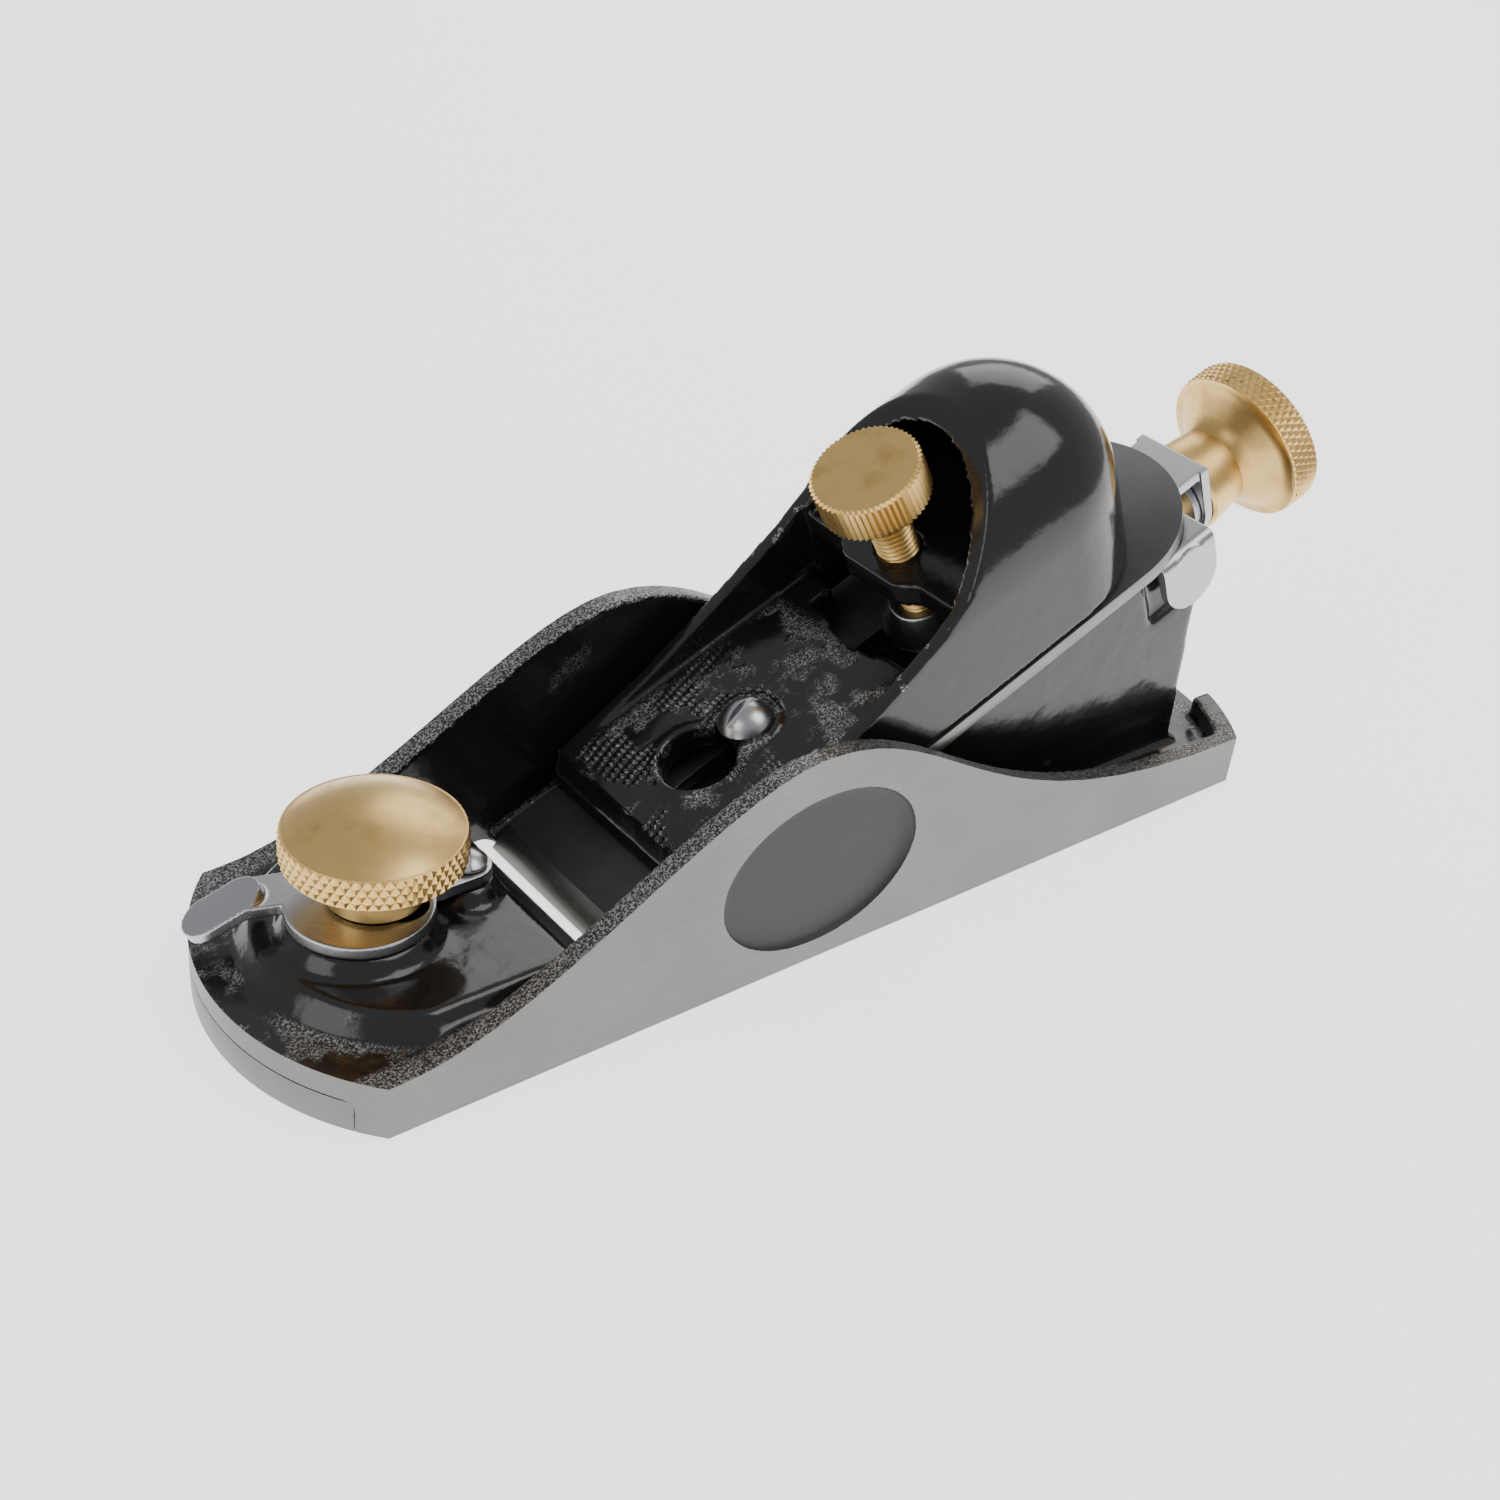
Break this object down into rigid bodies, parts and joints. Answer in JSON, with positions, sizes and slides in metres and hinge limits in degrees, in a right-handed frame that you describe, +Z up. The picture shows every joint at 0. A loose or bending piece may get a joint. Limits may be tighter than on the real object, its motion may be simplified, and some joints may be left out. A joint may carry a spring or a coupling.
{
  "type": "hand plane",
  "caption": "Small metal hand plane with arched cheeks, bevel-up blade, domed lever cap, sliding toe with lever and brass knob, screw depth adjuster and lateral lever.",
  "frame": {"origin": "on the sole, at the middle of its length and width", "axes": "+X towards the toe along the sole, +Y to the left cheek, +Z up"},
  "size_m": [0.1757, 0.0464, 0.0644],
  "materials": {
    "japanned_iron": "gloss black japanning over cast iron",
    "ground_iron": "ground satin grey iron",
    "brass": "turned and knurled, slightly tarnished",
    "bright_steel": "bright pressed steel",
    "steel": "plain steel",
    "tool_steel": "dark oxide on the faces, ground edges"
  },
  "bodies": {
    "casting": {"body": "japanned_iron", "mouth_lever_screw": "bright_steel", "lever_cap_screw": "bright_steel", "adjuster_spindle": "steel", "slide_screw": "steel", "slide_washer": "steel"},
    "toe": {"toe_plate": "ground_iron", "toe_stud": "steel"},
    "knob": {"front_knob": "brass"},
    "eccentric": {"mouth_lever": "bright_steel"},
    "cap": {"lever_cap": "japanned_iron"},
    "foot": {"clamp_foot": "bright_steel"},
    "clamp": {"clamp_screw": "brass"},
    "carriage": {"depth_slide": "steel", "lateral_rivet": "steel"},
    "wheel": {"adjuster_knob": "brass", "knob_retaining_ring": "steel"},
    "iron": {"blade": "tool_steel", "lateral_lever": "bright_steel", "drive_pin": "steel"}
  },
  "joints": [
    {"name": "mouth_lever_swing", "type": "hinge", "parent": "casting", "child": "eccentric", "pos_m": [0.0465, 0, 0.0138], "axis": [0, 0, 1], "range_deg": [-15, 15]},
    {"name": "toe_slide", "type": "slide", "parent": "casting", "child": "toe", "axis": [1, 0, 0], "range_m": [-0.0015, 0.0015]},
    {"name": "front_knob_turn", "type": "hinge", "parent": "toe", "child": "knob", "pos_m": [0.0592, 0, 0.02], "axis": [0, 0, 1], "range_deg": [0, 360]},
    {"name": "cap_slide", "type": "slide", "parent": "casting", "child": "cap", "axis": [-0.915, 0, 0.4035], "range_m": [0, 0.0082]},
    {"name": "clamp_turn", "type": "hinge", "parent": "foot", "child": "clamp", "pos_m": [-0.01104, 0, 0.05505], "axis": [0.5225, 0, 0.8526], "range_deg": [0, 360]},
    {"name": "clamp_lift", "type": "slide", "parent": "cap", "child": "foot", "axis": [0.5225, 0, 0.8526], "range_m": [0, 0.001]},
    {"name": "adjuster_turn", "type": "hinge", "parent": "carriage", "child": "wheel", "pos_m": [-0.07609, 0, 0.03718], "axis": [-0.915, 0, 0.4035], "range_deg": [-252, 1080]},
    {"name": "depth_travel", "type": "slide", "parent": "casting", "child": "carriage", "axis": [-0.915, 0, 0.4035], "range_m": [-0.0007, 0.003]},
    {"name": "lateral_swing", "type": "hinge", "parent": "carriage", "child": "iron", "pos_m": [-0.05322, 0, 0.03649], "axis": [0.4035, 0, 0.915], "range_deg": [-1.2, 1.2]}
  ],
  "couplings": [
    {"joint": "mouth_lever_swing", "follows": "toe_slide", "rad_per_m": 174.52},
    {"joint": "clamp_turn", "follows": "clamp_lift", "rad_per_m": 6282.6},
    {"joint": "adjuster_turn", "follows": "depth_travel", "rad_per_m": 6282.6}
  ]
}
